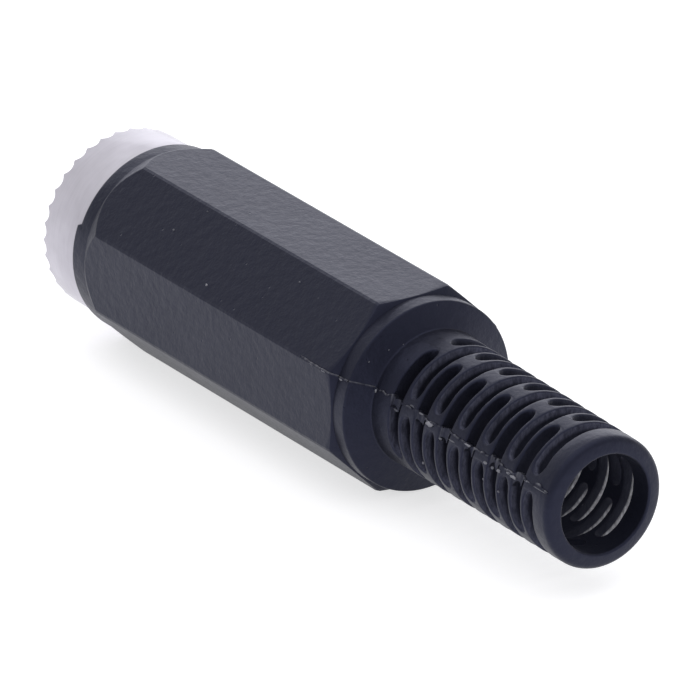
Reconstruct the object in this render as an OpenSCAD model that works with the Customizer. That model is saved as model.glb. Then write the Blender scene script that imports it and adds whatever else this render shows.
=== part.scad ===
// In-line barrel power socket: an octagonal cover with a slotted cable tail screws on to
// a plated collar, which holds the insulated contacts.
// X is the axis, +X points out of the mouth and the origin is the centre of the mouth.
// The socket lies on one flat of its cover.

/* [Plug well] */
// Bore that takes the plug
well_d = 5.7; // [5.5:0.05:6.5]
// Depth of the well from the mouth
well_depth = 9.5; // [8:0.1:12]
// Floor of the insert behind the well
floor_t = 1.5; // [1:0.1:2.5]
// Wall of the insert round the well
insert_wall = 0.85; // [0.7:0.05:1.2]
// Step from the body of the insert out to its front flange
flange_step = 0.5; // [0.3:0.05:0.6]
// Thickness of the front flange
flange_t = 0.9; // [0.5:0.05:1.5]
// Depth of the flange below the front face of the collar
flange_sink = 0.15; // [0.05:0.05:0.4]
// Lead-in bevel at the mouth of the well
mouth_bevel = 0.3; // [0.1:0.05:0.5]

/* [Collar] */
// Wall of the threaded spigot
spigot_wall = 0.68; // [0.5:0.02:1]
// Length of the collar that shows in front of the cover
collar_len = 3.4; // [2:0.1:6]
// Depth of the collar's surface below the flats of the cover
collar_step = 0.25; // [0:0.05:0.4]
// Teeth round the front edge
tooth_count = 34; // [20:1:44]
// Depth of the notches between the teeth
tooth_depth = 0.26; // [0.2:0.02:0.6]
// Width left at the tip of each tooth
tooth_land = 0.06; // [0.03:0.01:0.2]
// Width of the thread relief behind the shoulder
relief_w = 0.7; // [0.4:0.1:1.2]
// Depth of the thread relief and of the bevel at the end of the spigot
relief_t = 0.3; // [0.1:0.05:0.35]

/* [Cover] */
// Wall of the cover at the middle of a flat
cover_wall = 0.9; // [0.7:0.05:1.5]
// Length of the round band in front of the flats
rim_len = 1.3; // [0.6:0.1:2]
// Depth of the front band below the flats
rim_step = 0.05; // [0.03:0.01:0.2]
// Length over which the corners between the flats rise from the front band
front_run = 0.8; // [0.3:0.05:1.2]
// Length of the flats from the front band to the end of their corners
flats_len = 22.95; // [20:0.05:30]
// Depth taken off each corner between the flats
corner_trim = 0.02; // [0.02:0.01:0.2]
// Length over which the corners fall to the rear band
rear_run = 0.6; // [0.2:0.05:1]
// Length of the round band behind the corners
band_len = 0.95; // [0.6:0.05:2]
// Depth of the rear band below the flats
band_step = 0.15; // [0.05:0.01:0.4]
// Step from the threaded bore down to the cavity
thread_step = 0.3; // [0.1:0.05:0.4]
// Wall that closes the cavity round the tail
end_wall = 1.6; // [1:0.1:2.5]
// Round on the front edge of the cover
front_round = 0.25; // [0.1:0.05:0.6]
// Round on the rear edge of the cover
rear_round = 0.3; // [0.1:0.05:0.5]

/* [Cable tail] */
// Bore of the tail, which takes the cable
entry_d = 5.6; // [4:0.1:6.5]
// Wall of the tail at its end
tail_wall = 0.94; // [0.6:0.02:1.2]
// Growth of the tail's radius from its end to its root
tail_taper = 0.15; // [0:0.01:0.5]
// Length of the tail
tail_len = 16.4; // [15:0.1:24]
// Fillet at the root of the tail
root_fillet = 0.1; // [0.05:0.05:0.6]
// Round on the outer edge of the end lip
lip_round = 0.4; // [0.1:0.05:0.5]
// Plain lip behind the last row of slots
lip_len = 1.4; // [1:0.05:1.7]
// Rows of slots
slot_rows = 12; // [2:1:12]
// Spacing of the rows
slot_pitch = 1.11; // [1:0.01:1.15]
// Width of a slot
slot_w = 0.86; // [0.4:0.02:0.9]
// Slots in each row
slots_per_row = 3; // [2:1:4]
// Width of the bridges between the slots of a row
bridge_w = 1.05; // [0.6:0.05:2]
// Angle of the mould's parting line from the top
parting_deg = 67.5; // [22.5:45:157.5]

/* [Contacts] */
// Diameter of the centre pin
pin_d = 2.0; // [1.6:0.1:2.5]
// Depth of the pin's tip below the mouth
pin_sink = 1.5; // [0.5:0.1:3]
// Diameter of the pin's foot on the floor of the well
pin_foot_d = 3.0; // [2.8:0.1:3.6]
// Thickness of the pin's foot
pin_foot_t = 0.3; // [0.2:0.05:0.6]
// Diameter of the pin's shank in the floor
shank_d = 2.5; // [2.2:0.1:2.7]
// Diameter of the rivet end of the pin
rivet_d = 1.8; // [1.4:0.1:2]
// Diameter of the rivet's head
rivet_head_d = 2.7; // [2.4:0.1:3.2]
// Height of the rivet's head
rivet_head_h = 0.5; // [0.3:0.05:0.8]
// Thickness of the sheet metal of the two terminals
sheet_t = 0.35; // [0.25:0.05:0.5]
// Inside radius of the bends in the sheet metal
bend_r = 0.3; // [0.1:0.05:0.5]
// Overlap of the sleeve terminal on the end of the spigot
ring_lap = 0.28; // [0.15:0.01:0.35]
// Diameter of the boss that insulates the rivet from the sleeve terminal
boss_d = 3.6; // [3:0.1:4]
// Width of the sleeve terminal behind its ring
neck_w = 3.0; // [2:0.1:3.6]
// Width of the cable clamp
clamp_w = 4.4; // [3.6:0.1:4.6]
// Length of the cable clamp
clamp_len = 3.6; // [2:0.1:5]
// Height of the clamp's wings
clamp_h = 2.6; // [1.5:0.1:4.5]
// Width of the spring leaf in the well
leaf_w = 2.0; // [1.4:0.1:2.4]
// Length of the spring leaf
leaf_len = 7.2; // [5:0.1:8]
// Depth of the leaf's bow into the well
leaf_bow = 0.55; // [0.4:0.05:0.7]
// Diameter of the insulating washer
washer_d = 4.8; // [4.2:0.1:5.2]
// Thickness of the insulating washer
washer_t = 0.4; // [0.3:0.05:0.8]
// Width of the centre terminal
centre_lug_w = 2.4; // [2:0.1:3]
// Length of the centre terminal behind the washer
centre_lug_len = 6.5; // [4:0.1:8]
// Wire hole in each terminal
wire_hole_d = 1.2; // [0.8:0.1:1.4]

/* [Clearances] */
// Radial gap of pieces that are pushed together
seat_gap = 0.02; // [0.01:0.01:0.05]
// Radial gap between the spigot's thread and the cover
thread_gap = 0.2; // [0.1:0.05:0.3]
// Room behind the spigot before the cover's bore narrows
bore_gap = 0.6; // [0.4:0.1:1]
// Gap round the spring leaf in its slot
leaf_gap = 0.25; // [0.1:0.05:0.3]
// Gap from the washer and the rivet's head to the bend of the terminal beside it
lug_gap = 0.25; // [0.1:0.05:0.4]
// Gap from the cable clamp to the end of the cavity
clamp_gap = 2.4; // [0.5:0.1:6]

/* [Hidden] */

$fn = 96;
flats = 8;
flute_fn = 32;
arc_steps = 6;
leaf_steps = 20;
eps = 0.01;

// Radii, from the well outwards
well_r = well_d / 2;
insert_r = well_r + insert_wall;
flange_r = insert_r + flange_step;
collar_bore_r = insert_r + seat_gap;
spigot_r = collar_bore_r + spigot_wall;
thread_bore_r = spigot_r + thread_gap;
flat_r = thread_bore_r + cover_wall;
corner_r = flat_r / cos(180 / flats);
trim_r = corner_r - corner_trim;
collar_r = flat_r - collar_step;
rim_r = flat_r - rim_step;
band_r = flat_r - band_step;
cavity_r = thread_bore_r - thread_step;
entry_r = entry_d / 2;
tail_end_r = entry_r + tail_wall;
tail_root_r = tail_end_r + tail_taper;
boss_hole_r = boss_d / 2 + seat_gap;
rivet_hole_r = rivet_d / 2 + seat_gap;

// Distances behind the mouth
spigot_end = well_depth + floor_t;
flats_start = collar_len + rim_len;
flats_end = flats_start + flats_len;
band_start = flats_end + rear_run;
band_end = band_start + band_len;
tail_end = band_end + tail_len;
lip_start = tail_end - lip_len;
bore_end = spigot_end + bore_gap;
cavity_end = band_end - end_wall;
cone_start = cavity_end - (cavity_r - entry_r);
ring_end = spigot_end + sheet_t;
washer_end = ring_end + washer_t;
lug_end = washer_end + sheet_t;
clamp_end = cone_start - clamp_gap;
clamp_start = clamp_end - clamp_len;

// Points of an arc about [x, y], from angle a0 to angle a1
function arc(x, y, r, a0, a1) =
    [for (i = [0:arc_steps]) let (a = a0 + (a1 - a0) * i / arc_steps) [x + r * cos(a), y + r * sin(a)]];

// Lays a shape drawn along Z with its Z running back from the mouth and its X pointing up
module along_axis() {
    rotate([0, -90, 0]) children();
}

// A turned piece from a list of [radius, distance behind the mouth]
module turned(outline) {
    rotate_extrude() polygon(outline);
}

// A round bar between two distances behind the mouth
module bar(r, from, to) {
    translate([0, 0, from]) cylinder(r = r, h = to - from);
}

// A block between its lowest and highest corners
module block(low, high) {
    translate(low) cube(high - low);
}

// A quarter bend of sheet of width w, about a line across the axis, from angle a0
module bend(x, z, w, a0) {
    translate([x, w / 2, z]) rotate([90, 0, 0]) rotate(a0) rotate_extrude(angle = 90)
        translate([bend_r, 0]) square([sheet_t, w]);
}

// Outside of the cover: front band, flats, rear band and tapered tail
module cover_body() {
    flats_middle = flats_start + flats_len / 2;
    turned(concat(
        [[0, collar_len]],
        arc(rim_r - front_round, collar_len + front_round, front_round, -90, 0),
        [[rim_r, flats_middle], [band_r, flats_middle]],
        arc(band_r - rear_round, band_end - rear_round, rear_round, 0, 90),
        arc(tail_root_r + root_fillet, band_end + root_fillet, root_fillet, -90, -180),
        arc(tail_end_r - lip_round, tail_end - lip_round, lip_round, 0, 90),
        [[0, tail_end]]
    ));
    intersection() {
        translate([0, 0, flats_start]) rotate(180 / flats)
            cylinder(r = corner_r, h = band_start - flats_start, $fn = flats);
        turned([
            [0, flats_start], [rim_r, flats_start], [trim_r, flats_start + front_run],
            [trim_r, flats_end], [band_r, band_start], [0, band_start]
        ]);
    }
}

// Hollow of the cover: threaded bore, cavity and the bore of the tail
module cover_hollow() {
    turned([
        [0, collar_len - eps], [thread_bore_r, collar_len - eps],
        [thread_bore_r, bore_end], [cavity_r, bore_end + thread_step],
        [cavity_r, cone_start], [entry_r, cavity_end],
        [entry_r, tail_end + eps], [0, tail_end + eps]
    ]);
}

// One row of slots round the tail: a disc less the bridges that stay
module slot_row() {
    reach = tail_root_r + slot_w;
    difference() {
        bar(reach, 0, slot_w);
        for (k = [0:slots_per_row - 1])
            rotate(360 * k / slots_per_row)
                block([0, -bridge_w / 2, -eps], [reach + eps, bridge_w / 2, slot_w + eps]);
    }
}

// Rows of slots, counted from the end of the tail, each turned half a slot from the one before
module tail_slots() {
    for (row = [0:slot_rows - 1])
        translate([0, 0, lip_start - slot_w - row * slot_pitch])
            rotate(parting_deg + (row % 2) * 180 / slots_per_row)
                slot_row();
}

module cover() {
    color("#2b2c35") along_axis() difference() {
        cover_body();
        cover_hollow();
        tail_slots();
    }
}

// Round flutes across the front edge of the collar, which leave its teeth
module collar_flutes() {
    drop = tooth_depth / sqrt(2);
    half_w = (2 * PI * collar_r / tooth_count - tooth_land) / 2;
    flute_r = (half_w * half_w + drop * drop) / (2 * drop);
    reach = 2 * tooth_depth;
    for (k = [0:tooth_count - 1])
        rotate(360 * k / tooth_count) translate([collar_r - tooth_depth / 2, 0, tooth_depth / 2])
            rotate([0, 45, 0]) translate([flute_r, 0, -reach])
                cylinder(r = flute_r, h = 2 * reach, $fn = flute_fn);
}

module collar() {
    seat_r = flange_r + seat_gap;
    seat_end = flange_sink + flange_t;
    relief_r = spigot_r - relief_t;
    relief_end = collar_len + relief_w;
    color("#c9c6cf") along_axis() difference() {
        turned([
            [collar_bore_r, seat_end], [seat_r, seat_end], [seat_r, 0], [collar_r, 0],
            [collar_r, collar_len], [relief_r, collar_len],
            [relief_r, relief_end], [spigot_r, relief_end + relief_t],
            [spigot_r, spigot_end - relief_t], [relief_r, spigot_end],
            [collar_bore_r, spigot_end]
        ]);
        collar_flutes();
    }
}

module insert() {
    flange_end = flange_sink + flange_t;
    hole_r = shank_d / 2 + seat_gap;
    slot_low = well_r - leaf_bow - leaf_gap;
    slot_front = ring_end - leaf_len - leaf_gap;
    slot_half_w = leaf_w / 2 + leaf_gap;
    color("#222226") along_axis() difference() {
        turned([
            [well_r, well_depth], [well_r, flange_sink + mouth_bevel], [well_r + mouth_bevel, flange_sink],
            [flange_r, flange_sink], [flange_r, flange_end], [insert_r, flange_end],
            [insert_r, spigot_end], [boss_d / 2, spigot_end], [boss_d / 2, ring_end],
            [hole_r, ring_end], [hole_r, well_depth]
        ]);
        block([slot_low, -slot_half_w, slot_front], [insert_r + eps, slot_half_w, spigot_end + eps]);
    }
}

module centre_pin() {
    pin_r = pin_d / 2;
    foot_r = pin_foot_d / 2;
    foot_start = well_depth - pin_foot_t;
    shank_r = shank_d / 2;
    rivet_r = rivet_d / 2;
    head_r = rivet_head_d / 2;
    head_end = lug_end + rivet_head_h;
    color("#d6cfb8") along_axis() turned(concat(
        arc(0, pin_sink + pin_r, pin_r, -90, 0),
        [[pin_r, foot_start], [foot_r, foot_start], [foot_r, well_depth],
         [shank_r, well_depth], [shank_r, ring_end], [rivet_r, ring_end], [rivet_r, lug_end],
         [head_r, lug_end], [head_r, (lug_end + head_end) / 2], [head_r / 2, head_end], [0, head_end]]
    ));
}

// Height of the underside of the spring leaf, at a share u of its length from the ring
function leaf_height(u) = insert_r - leaf_gap - sheet_t - leaf_bow * pow(sin(180 * u), 2);

// Points along the leaf at a height added to its underside
function leaf_line(add) =
    [for (i = [0:leaf_steps]) let (u = i / leaf_steps) [leaf_height(u) + add, ring_end - u * leaf_len]];

// The spring leaf, which runs forward from the ring into the well
module leaf() {
    back = leaf_line(sheet_t);
    translate([0, leaf_w / 2, 0]) rotate([90, 0, 0]) linear_extrude(leaf_w)
        polygon(concat(leaf_line(0), [for (i = [leaf_steps:-1:0]) back[i]]));
}

module sleeve_terminal() {
    ring_r = insert_r + ring_lap;
    ring_top = insert_r - leaf_gap;
    bend_x = -(washer_d / 2 + lug_gap);
    bend_z = ring_end + bend_r;
    neck_top = bend_x - bend_r;
    neck_low = neck_top - sheet_t;
    half_w = clamp_w / 2;
    color("#cbb98c") along_axis() {
        difference() {
            bar(ring_r, spigot_end, ring_end);
            bar(boss_hole_r, spigot_end - eps, ring_end + eps);
            block([ring_top, -ring_r, spigot_end - eps], [ring_r, ring_r, ring_end + eps]);
            block([-ring_r, -ring_r, spigot_end - eps], [bend_x, ring_r, ring_end + eps]);
        }
        leaf();
        bend(bend_x, bend_z, neck_w, 180);
        difference() {
            union() {
                block([neck_low, -neck_w / 2, bend_z], [neck_top, neck_w / 2, clamp_end]);
                block([neck_low, -half_w, clamp_start], [neck_top, half_w, clamp_end]);
            }
            translate([neck_low - eps, 0, clamp_start - neck_w / 2]) rotate([0, 90, 0])
                cylinder(d = wire_hole_d, h = sheet_t + 2 * eps);
        }
        for (low = [-half_w, half_w - sheet_t])
            block([neck_low, low, clamp_start], [neck_low + clamp_h, low + sheet_t, clamp_end]);
    }
}

module washer() {
    color("#5b2f22") along_axis() difference() {
        bar(washer_d / 2, ring_end, washer_end);
        bar(rivet_hole_r, ring_end - eps, washer_end + eps);
    }
}

module centre_terminal() {
    half_w = centre_lug_w / 2;
    bend_x = rivet_head_d / 2 + lug_gap;
    bend_z = lug_end + bend_r;
    tab_low = bend_x + bend_r;
    tab_end = washer_end + centre_lug_len - half_w;
    color("#cbb98c") along_axis() {
        difference() {
            union() {
                bar(half_w + bend_r, washer_end, lug_end);
                block([0, -half_w, washer_end], [bend_x, half_w, lug_end]);
            }
            bar(rivet_hole_r, washer_end - eps, lug_end + eps);
        }
        bend(bend_x, bend_z, centre_lug_w, 270);
        difference() {
            union() {
                block([tab_low, -half_w, bend_z], [tab_low + sheet_t, half_w, tab_end]);
                translate([tab_low, 0, tab_end]) rotate([0, 90, 0]) cylinder(r = half_w, h = sheet_t);
            }
            translate([tab_low - eps, 0, tab_end]) rotate([0, 90, 0])
                cylinder(d = wire_hole_d, h = sheet_t + 2 * eps);
        }
    }
}

cover();
collar();
insert();
centre_pin();
sleeve_terminal();
washer();
centre_terminal();
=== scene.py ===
"""Looks of an in-line barrel power socket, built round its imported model.

Distances run back from the mouth, and angles run from the top towards the side that the camera sees.
"""

import math

import bmesh
import bpy
from bpy.props import FloatProperty, FloatVectorProperty, IntProperty, PointerProperty
from bpy.types import Operator, Panel, PropertyGroup
from mathutils import Matrix, Vector, noise


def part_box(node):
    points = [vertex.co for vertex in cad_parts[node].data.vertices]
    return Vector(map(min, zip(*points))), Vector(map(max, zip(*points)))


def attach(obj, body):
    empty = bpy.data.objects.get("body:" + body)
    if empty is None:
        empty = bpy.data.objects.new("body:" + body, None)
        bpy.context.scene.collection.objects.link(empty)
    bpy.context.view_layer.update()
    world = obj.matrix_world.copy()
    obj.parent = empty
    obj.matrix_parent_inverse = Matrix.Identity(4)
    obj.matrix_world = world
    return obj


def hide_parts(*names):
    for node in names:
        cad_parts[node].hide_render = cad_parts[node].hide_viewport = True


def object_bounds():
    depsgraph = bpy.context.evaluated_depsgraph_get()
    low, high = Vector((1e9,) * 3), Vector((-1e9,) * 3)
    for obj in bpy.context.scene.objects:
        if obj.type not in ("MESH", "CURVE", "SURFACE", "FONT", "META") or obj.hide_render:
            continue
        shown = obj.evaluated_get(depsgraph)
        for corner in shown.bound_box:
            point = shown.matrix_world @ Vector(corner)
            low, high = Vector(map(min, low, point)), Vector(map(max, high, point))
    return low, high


bl_info = {
    "name": "Barrel power socket",
    "version": (1, 0, 0),
    "blender": (4, 5, 0),
    "location": "3D View > Sidebar > Socket",
    "description": "Dresses the packed model of an in-line barrel power socket",
    "category": "Object",
}

MM = 0.001

# Colour sockets of a Mix node
MIX_FACTOR = 0
MIX_FIRST = 6
MIX_SECOND = 7
MIX_RESULT = 2

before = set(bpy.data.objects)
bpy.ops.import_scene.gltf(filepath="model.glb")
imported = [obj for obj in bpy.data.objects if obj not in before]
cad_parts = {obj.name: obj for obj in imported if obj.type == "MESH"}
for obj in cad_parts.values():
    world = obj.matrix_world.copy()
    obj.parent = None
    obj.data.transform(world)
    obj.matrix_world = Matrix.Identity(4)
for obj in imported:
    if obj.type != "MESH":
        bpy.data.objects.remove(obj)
CAD_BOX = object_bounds()
COVER_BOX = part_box("cover")
COLLAR_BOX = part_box("collar")
REST_HEIGHT = CAD_BOX[0].z


def length(name, description, millimetres):
    """A size property, with its default in millimetres."""
    return FloatProperty(name=name, description=description, default=millimetres * MM, min=0.0,
                         unit="LENGTH", precision=5)


def station(name, what, millimetres):
    """A distance behind the mouth, with its default in millimetres."""
    return length(name, "Distance of %s behind the mouth" % what, millimetres)


def turn(name, description, degrees):
    """An angle property, with its default in degrees."""
    return FloatProperty(name=name, description=description, default=math.radians(degrees), subtype="ANGLE")


def share(name, description, value):
    """A property from 0 to 1."""
    return FloatProperty(name=name, description=description, default=value, min=0.0, max=1.0,
                         subtype="FACTOR")


def level(name, description, value):
    """A brightness property."""
    return FloatProperty(name=name, description=description, default=value, min=0.0)


def tint(name, what, red, green, blue):
    """A colour property in linear light."""
    return FloatVectorProperty(name=name, description="Colour of " + what, default=(red, green, blue),
                               min=0.0, max=1.0, size=3, subtype="COLOR")


class CoverSettings(PropertyGroup):
    """Sizes and colours of the moulded cover."""

    front: station("Front", "the front edge", -COVER_BOX[1].x / MM)
    end: station("End", "the tail's end", -COVER_BOX[0].x / MM)
    flat: length("Flat", "Distance from the axis to a flat", COVER_BOX[1].z / MM)
    corner_trim: length("Corner trim", "Depth taken off each corner between the flats", 0.035)
    rim_length: length("Front band length", "Length of the round band in front of the flats", 1.05)
    rim: length("Front band", "Radius of the round band in front of the flats", 5.48)
    front_round: length("Front round", "Round of the front edge", 0.25)
    front_run: length("Front run", "Length over which the corners rise from the front band", 1.05)
    flats_end: station("Flats end", "the end of the corners", 28.0)
    rear_run: length("Rear run", "Length over which the corners fall to the rear band", 0.25)
    band: length("Rear band", "Radius of the round band behind the flats", 5.42)
    band_end: station("Rear band end", "the end face", 29.2)
    rear_round: length("Rear round", "Round of the rear edge", 0.12)
    dome: length("Dome", "How far the end face rises towards the tail", 0.42)
    front_edge: length("Front edge", "Round of the creases at the front of the flats", 0.05)
    rear_edge: length("Rear edge", "Round of the creases at the rear of the flats", 0.2)
    mismatch: length("Mould mismatch", "How far the lower mould half stands in front of the upper", 0.3)
    thread_bore: length("Threaded bore", "Radius of the grooves of the inner thread", 4.7)
    thread_end: station("Thread end", "the end of the inner thread", 11.6)
    cavity: length("Cavity", "Radius of the wire space", 4.3)
    cavity_end: station("Cavity end", "the end of the wire space", 27.6)
    tail_root: length("Tail root", "Radius of the tail at its root", 3.89)
    tail_tip: length("Tail tip", "Radius of the tail at its end", 3.74)
    root_fillet: length("Root fillet", "Fillet between the end face and the tail", 0.12)
    lip_round: length("Lip round", "Round on the outer edge of the end lip", 0.4)
    lip_slope: length("Lip slope", "How far the end face of the lip falls back towards its outer edge", 0.1)
    lip: length("Lip", "Length of the plain lip behind the last slots", 1.4)
    entry: length("Cable bore", "Radius of the bore of the tail", 2.8)
    slot_rows: IntProperty(name="Slot rows", description="Rows of slots in the tail", default=12, min=1)
    slot_pitch: length("Slot pitch", "Spacing of the rows of slots", 1.11)
    slot_width: length("Slot width", "Width of a slot", 0.86)
    end_taper: length("End taper", "Length over which the ends of a slot narrow", 0.75)
    slots_per_row: IntProperty(name="Slots per row", description="Slots in each row", default=3, min=2)
    bridge: turn("Bridge", "Half angle of the bridges between the slots of a row", 7.5)
    slot_edge: length("Slot edge", "Round on the outer edges of the slots", 0.085)
    sag: length("Sag", "How far the end of the tail hangs", 0.18)
    root_lift: length("Root lift", "How far the root of the tail sits above the axis", 0.10)
    parting: turn("Parting line", "Angle of the mould's parting line", 67.5)
    plastic: tint("Plastic", "the plastic", 0.0062, 0.0064, 0.0115)
    plastic_pale: tint("Rubbed plastic", "the rubbed flash and of dust", 0.42, 0.42, 0.46)
    # The streak colour is partly real streaks on the slot walls and partly painted light, where light falls
    # into the slots.
    plastic_lit_streaks: tint("Streaks with painted light", "the streaks on the slot walls, with painted light where light falls into the slots", 0.10, 0.103, 0.148)
    # Painted light: light from outside that comes through the far slots, painted on the outer part of their
    # walls.
    plastic_painted_light: tint("Painted light in the slots", "the light from outside painted on the outer edges of the slot walls", 0.74, 0.74, 0.76)
    sheen: tint("Reflection", "the reflections on the plastic", 0.55, 0.60, 1.0)
    gloss: share("Gloss", "Strength of the reflections on the plastic, where 0.5 is plain", 0.43)
    roughness: share("Roughness", "Roughness of the moulded surface", 0.42)


class CollarSettings(PropertyGroup):
    """Sizes and colours of the plated collar."""

    outside: length("Outside", "Radius of the toothed part", COLLAR_BOX[1].z / MM)
    shoulder: station("Shoulder", "the shoulder", 3.4)
    end: station("End", "the end of the spigot", -COLLAR_BOX[0].x / MM)
    bore: length("Bore", "Radius of the bore", 3.72)
    seat: length("Seat", "Radius of the seat of the insert's flange", 4.22)
    seat_depth: length("Seat depth", "Depth of the seat of the insert's flange", 1.05)
    relief: length("Relief", "Radius of the thread relief", 4.1)
    relief_end: station("Relief end", "the end of the thread relief", 4.1)
    root: length("Thread root", "Radius at the root of the thread", 4.33)
    crest: length("Thread crest", "Radius at the crest of the thread", 4.53)
    pitch: length("Thread pitch", "Pitch of the thread", 0.75)
    teeth: IntProperty(name="Teeth", description="Teeth round the front edge", default=34, min=8)
    tooth_depth: length("Tooth depth", "Depth of the flutes between the teeth", 0.26)
    tooth_land: length("Tooth land", "Width left at the tip of each tooth", 0.06)
    plating: tint("Plating", "the nickel plate", 0.67, 0.65, 0.71)
    roughness: share("Roughness", "Roughness of the plate", 0.72)


class ContactSettings(PropertyGroup):
    """Colours of the pieces inside."""

    insert: tint("Insert", "the insert", 0.018, 0.018, 0.021)
    nickel: tint("Pin", "the centre pin", 0.70, 0.68, 0.64)
    tin: tint("Terminals", "the tinned terminals", 0.66, 0.65, 0.62)
    brass: tint("Brass", "the brass that shows where the tin is thin", 0.62, 0.45, 0.20)
    fibre: tint("Washer", "the fibre washer", 0.26, 0.095, 0.055)


class StageSettings(PropertyGroup):
    """Camera, floor and light."""

    heading: turn("Heading", "Direction of the right of the picture, from the X axis", 235.39)
    elevation: turn("Elevation", "Height of the camera above the horizon", 23.96)
    distance: length("Distance", "Distance from the camera to the plane through the mouth", 723.83)
    aim_right: length("Aim right", "How far right of the mouth the camera points", 12.499)
    aim_down: length("Aim down", "How far below the mouth the camera points", 7.294)
    lens: FloatProperty(name="Lens", description="Focal length on a 36 mm sensor, in millimetres",
                        default=676.5, min=1.0)
    floor: tint("Floor", "the floor", 0.62, 0.62, 0.64)
    floor_lift: level("Floor lift", "Brightness added to the floor where the camera sees it", 0.66)
    fill: level("Fill", "Brightness of the surroundings", 0.62)
    top: level("Top light", "Brightness of the soft box overhead", 0.65)
    back: level("Back light", "Brightness of the soft wall behind the object", 1.45)
    plain: tint("Top light colour", "the soft box overhead", 1.0, 1.0, 1.0)
    cool: tint("Back light colour", "the soft wall behind the object", 0.93, 0.93, 1.0)


def settings(kind):
    """The settings of one kind. Below, c is the cover's, k the collar's and g the stage's."""
    return getattr(bpy.context.scene, "socket_" + kind)


# Places and meshes


def place(distance, radius, degrees):
    """A point at a distance behind the mouth, a radius and an angle."""
    angle = math.radians(degrees)
    return Vector((-distance, radius * math.sin(angle), radius * math.cos(angle)))


def degrees_of(point):
    """The angle of a point about the axis."""
    return math.degrees(math.atan2(point.y, point.z)) % 360.0


def wrapped(degrees, spacing):
    """An angle measured from the nearest multiple of a spacing."""
    return (degrees + spacing / 2) % spacing - spacing / 2


def apart(first, second):
    """The angle between two angles in degrees, from 0 to 180."""
    return abs(wrapped(first - second, 360.0))


def set_radius(vert, radius):
    """Moves a vertex to a radius from the axis."""
    scale = radius / math.hypot(vert.co.y, vert.co.z)
    vert.co.y *= scale
    vert.co.z *= scale


def arc(distance, radius, size, start, stop, steps=4, row=0):
    """Rows of an arc about a centre: 0 degrees points to the tail and 90 degrees outwards."""
    rows = []
    for step in range(steps + 1):
        angle = math.radians(start + (stop - start) * step / steps)
        rows.append((distance + size * math.cos(angle), radius + size * math.sin(angle), row))
    return rows


def spin_outline(bm, outline, columns):
    """Turns a closed outline of (distance, radius, row number) about the axis."""
    row = bm.verts.layers.int.new("row")
    ring = []
    for distance, radius, number in outline:
        vert = bm.verts.new(place(distance, radius, 0.0))
        vert[row] = number
        ring.append(vert)
    edges = [bm.edges.new((ring[i - 1], ring[i])) for i in range(len(ring))]
    bmesh.ops.spin(bm, geom=ring + edges, cent=(0, 0, 0), axis=(-1, 0, 0), angle=math.tau,
                   steps=columns, use_merge=True)
    return row


def wind_ridge(bm, start, turns, pitch, base, crest, width):
    """A thread ridge of triangular section, wound back from a start distance, which fades in and out."""
    steps = 48
    least_rise = 0.02
    tip = bm.verts.new(place(start, crest, 0.0))
    feet = [bm.verts.new(place(start + side * width / 2, base, 0.0)) for side in (-1, 1)]
    ring = [tip] + feet
    edges = [bm.edges.new((ring[i - 1], ring[i])) for i in range(3)]
    before = set(bm.verts)
    bmesh.ops.spin(bm, geom=ring + edges, cent=(0, 0, 0), axis=(-1, 0, 0), angle=math.tau * turns,
                   steps=round(turns * steps), dvec=(-pitch / steps, 0, 0))
    made = [vert for vert in bm.verts if vert not in before] + ring
    run = turns * pitch
    fade = 0.5 * pitch
    for vert in made:
        radius = math.hypot(vert.co.y, vert.co.z)
        gone = -vert.co.x - start
        rise = min(1.0, max(least_rise, min(gone, run - gone) / fade))
        if abs(radius - crest) < abs(radius - base):
            set_radius(vert, base + (crest - base) * rise)
    loose = [edge for edge in bm.edges if edge.is_boundary]
    bmesh.ops.holes_fill(bm, edges=loose, sides=0)


def make_object(bm, name, material, sharp_degrees=32.0):
    """Turns a bmesh into an object with smooth faces and sharp creases."""
    limit = math.radians(sharp_degrees)
    for face in bm.faces:
        face.smooth = True
    for edge in bm.edges:
        edge.smooth = edge.smooth and edge.calc_face_angle(0.0) < limit
    mesh = bpy.data.meshes.new(name)
    bm.to_mesh(mesh)
    bm.free()
    mesh.materials.append(material)
    made = bpy.data.objects.new(name, mesh)
    bpy.context.scene.collection.objects.link(made)
    return made


def dress(piece, body, slot, *nodes):
    """Puts a piece on its body, in place of CAD nodes if any are named."""
    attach(piece, body)
    if nodes:
        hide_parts(*nodes)


# Shader helpers


def feed(tree, socket, value):
    """Links an output to a socket, or sets the socket's value."""
    if isinstance(value, bpy.types.NodeSocket):
        tree.links.new(value, socket)
    elif socket.type == "RGBA" and len(value) == 3:
        socket.default_value = (*value, 1.0)
    else:
        socket.default_value = value


def add(tree, kind, inputs=None, **options):
    """Adds a node with options and inputs."""
    made = tree.nodes.new(kind)
    for name, value in options.items():
        setattr(made, name, value)
    for name, value in (inputs or {}).items():
        feed(tree, made.inputs[name], value)
    return made


def calc(tree, operation, first, *others):
    """The result of Math nodes of one operation, taken from left to right."""
    for other in others:
        first = add(tree, "ShaderNodeMath", {0: first, 1: other}, operation=operation).outputs[0]
    return first


def product(tree, *values):
    """The product of several values."""
    return calc(tree, "MULTIPLY", *values)


def shade(colour, factor):
    """A colour made darker or lighter."""
    return tuple(factor * value for value in colour)


def ramp(tree, value, low, high, to_low=0.0, to_high=1.0):
    """A value mapped from one range to another and held at its ends."""
    inputs = {"Value": value, "From Min": low, "From Max": high, "To Min": to_low, "To Max": to_high}
    return add(tree, "ShaderNodeMapRange", inputs).outputs["Result"]


def blend(tree, factor, first, second):
    """Two colours mixed by a factor."""
    made = add(tree, "ShaderNodeMix", data_type="RGBA")
    feed(tree, made.inputs[MIX_FACTOR], factor)
    feed(tree, made.inputs[MIX_FIRST], first)
    feed(tree, made.inputs[MIX_SECOND], second)
    return made.outputs[MIX_RESULT]


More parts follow.
